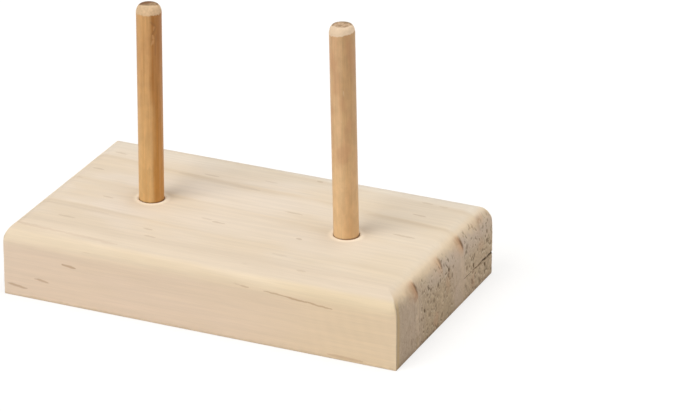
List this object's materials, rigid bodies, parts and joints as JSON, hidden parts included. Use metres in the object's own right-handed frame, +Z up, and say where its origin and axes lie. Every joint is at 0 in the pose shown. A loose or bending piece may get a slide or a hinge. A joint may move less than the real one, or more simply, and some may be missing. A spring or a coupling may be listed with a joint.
{
  "type": "thread stand",
  "caption": "Pine block with rounded top edges and upright dowel pegs that thread spools drop over.",
  "frame": {"origin": "centre of the underside of the base block", "axes": "+X along the block's length, towards the end with the open end grain; +Y from the front long side to the back; +Z up along the pegs"},
  "size_m": [0.095, 0.055, 0.0668],
  "materials": {
    "pine": "sanded bare pine with open end grain",
    "amber_dowel": "smooth amber hardwood dowel with a darker side",
    "tan_dowel": "smooth tan hardwood dowel"
  },
  "bodies": {
    "root": {"base_block": "pine", "left_peg": "amber_dowel", "right_peg": "tan_dowel"}
  },
  "joints": []
}
